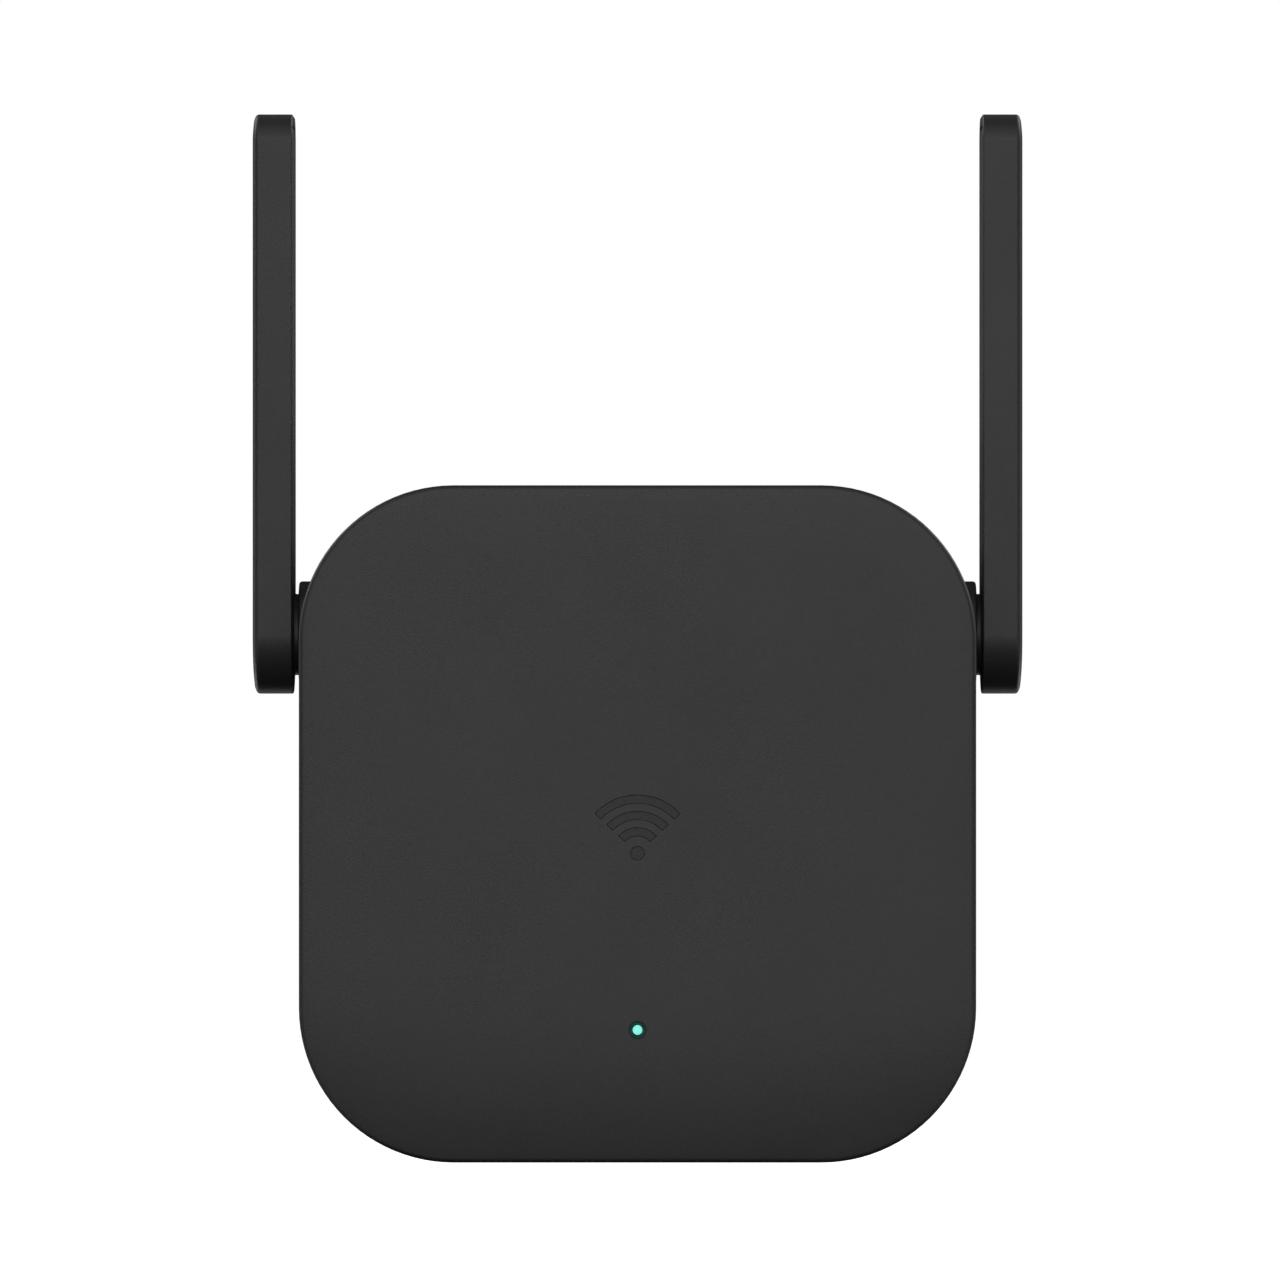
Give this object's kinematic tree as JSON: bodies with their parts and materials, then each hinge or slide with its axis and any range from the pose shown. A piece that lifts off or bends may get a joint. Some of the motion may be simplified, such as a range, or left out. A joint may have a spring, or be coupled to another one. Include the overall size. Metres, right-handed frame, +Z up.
{
  "type": "wifi range extender",
  "caption": "Plug-in wifi range extender: rounded square black housing, a folding flat antenna on each side, a small status light and a round mains plug at the back.",
  "frame": {"origin": "middle of the mains plug's mating face, between the two pins", "axes": "+Y into the wall socket along the pins, so the front faces -Y; +Z up along the raised antennas; +X to the right as seen from the front"},
  "size_m": [0.0908, 0.079, 0.1228],
  "materials": {
    "housing": "fine spark-eroded matte black",
    "antenna": "fine spark-eroded matte black",
    "plug": "matte black, flame-retardant",
    "lens": "clear light pipe, glowing blue-green",
    "nickel": "nickel-plated brass",
    "bronze": "plated spring bronze",
    "board": "green solder mask",
    "chip": "moulded epoxy",
    "ferrite": "dark grey ferrite",
    "tape": "yellow polyester tape",
    "sleeve": "shrink sleeve on an aluminium can",
    "resistor": "cement coated",
    "disc": "lacquered ceramic",
    "barrier": "milky insulation sheet",
    "tin": "tin plate",
    "aluminium": "satin",
    "silicone": "grey silicone",
    "steel": "zinc-plated",
    "coax": "thin coaxial cable jacket",
    "led": "white package with a clear top",
    "button": "ivory"
  },
  "bodies": {
    "housing": {"front_cover": "housing", "rear_housing": "housing", "light_pipe": "lens", "plug_base": "plug", "plug_pin_left": "nickel", "plug_pin_right": "nickel", "pin_contact_left": "bronze", "pin_contact_right": "bronze", "power_board": "board", "insulation_barrier": "barrier", "transformer_core": "ferrite", "transformer_winding": "tape", "bulk_capacitor_1": "sleeve", "bulk_capacitor_2": "sleeve", "output_capacitor": "sleeve", "filter_choke": "ferrite", "bridge_rectifier": "chip", "optocoupler": "chip", "switching_controller": "chip", "fusible_resistor": "resistor", "safety_capacitor": "disc", "board_link_header": "bronze", "power_board_screw_1": "steel", "power_board_screw_2": "steel", "power_board_screw_3": "steel", "power_board_screw_4": "steel", "radio_board": "board", "shield_can": "tin", "wifi_chip": "chip", "thermal_pad": "silicone", "heat_spreader": "aluminium", "flash_chip": "chip", "status_led": "led", "reset_switch": "tin", "radio_board_screw_1": "steel", "radio_board_screw_2": "steel", "radio_board_screw_3": "steel", "radio_board_screw_4": "steel", "coax_socket_left": "bronze", "coax_socket_right": "bronze", "coax_lead_left": "coax", "coax_lead_right": "coax"},
    "reset_button": {"reset_plunger": "button"},
    "left_antenna": {"antenna_left_shell": "antenna", "antenna_left_cover": "antenna", "antenna_left_washer": "silicone", "antenna_left_radiator": "board", "antenna_left_coax": "coax"},
    "right_antenna": {"antenna_right_shell": "antenna", "antenna_right_cover": "antenna", "antenna_right_washer": "silicone", "antenna_right_radiator": "board", "antenna_right_coax": "coax"}
  },
  "joints": [
    {"name": "left_antenna_hinge", "type": "hinge", "parent": "housing", "child": "left_antenna", "pos_m": [-0.0383, -0.038, 0.02205], "axis": [1, 0, 0], "range_deg": [0, 180]},
    {"name": "right_antenna_hinge", "type": "hinge", "parent": "housing", "child": "right_antenna", "pos_m": [0.0383, -0.038, 0.02205], "axis": [1, 0, 0], "range_deg": [0, 180]},
    {"name": "reset_press", "type": "slide", "parent": "housing", "child": "reset_button", "axis": [0, 0, 1], "range_m": [0, 0.00025], "stiffness_N_per_m": 400, "springref_m": -0.004}
  ]
}
